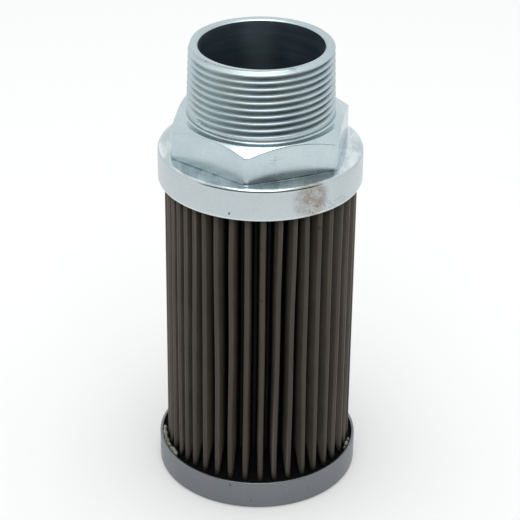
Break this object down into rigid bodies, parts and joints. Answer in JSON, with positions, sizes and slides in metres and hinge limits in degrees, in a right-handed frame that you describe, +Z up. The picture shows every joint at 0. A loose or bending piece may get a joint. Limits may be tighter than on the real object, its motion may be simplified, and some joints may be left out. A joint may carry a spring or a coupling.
{
  "type": "hydraulic suction filter element",
  "caption": "Pleated wire-mesh filter element between two pressed end caps, with a hexagon nipple and taper pipe thread at the outlet.",
  "frame": {"origin": "centre of the lower end cap's underside", "axes": "+Z up along the element's axis, from the closed end to the threaded outlet; -Y is the side seen in the picture, +X its right"},
  "size_m": [0.0686, 0.0686, 0.1567],
  "materials": {
    "zinc_nipple": "satin zinc plate",
    "zinc_cap": "satin zinc plate",
    "lower_cap_steel": "satin zinc plate in shade",
    "core_steel": "galvanised",
    "mesh_steel": "woven wire",
    "clip_steel": "folded strip",
    "black_resin": "cured resin"
  },
  "bodies": {
    "root": {"threaded_nipple": "zinc_nipple", "upper_end_cap": "zinc_cap", "lower_end_cap": "lower_cap_steel", "core_tube": "core_steel", "filter_mesh": "mesh_steel", "mesh_seam_clip": "clip_steel", "lower_potting": "black_resin", "upper_potting": "black_resin"}
  },
  "joints": []
}
